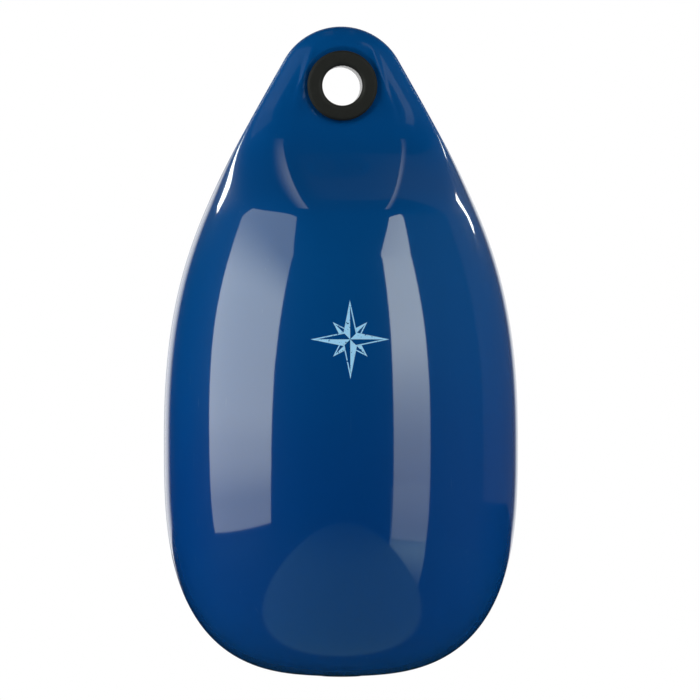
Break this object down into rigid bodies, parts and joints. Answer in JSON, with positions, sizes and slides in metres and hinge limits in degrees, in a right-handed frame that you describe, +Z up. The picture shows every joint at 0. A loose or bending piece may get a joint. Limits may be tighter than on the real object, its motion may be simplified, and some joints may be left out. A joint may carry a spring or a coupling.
{
  "type": "boat fender",
  "caption": "Small hollow teardrop boat fender of glossy blue PVC, flattened at its top into a tab with a black eyelet for the hanging line, and filled with air through a valve in its foot.",
  "frame": {"origin": "centre of the eye that the hanging line goes through, halfway through the tab", "axes": "+Z up along the fender's length, from the foot to the tab; -Y out of the front along the eye's bore; +X to the right seen from the front"},
  "size_m": [0.13, 0.13, 0.2377],
  "materials": {
    "body_pvc": "glossy blue soft PVC, smooth from the mould, with fine dust and small nicks",
    "eyelet_plastic": "matte black moulded plastic",
    "valve_rubber": "matte black rubber"
  },
  "bodies": {
    "root": {"fender_body": "body_pvc", "eyelet_front": "eyelet_plastic", "eyelet_rear": "eyelet_plastic", "inflation_valve": "valve_rubber"}
  },
  "joints": []
}
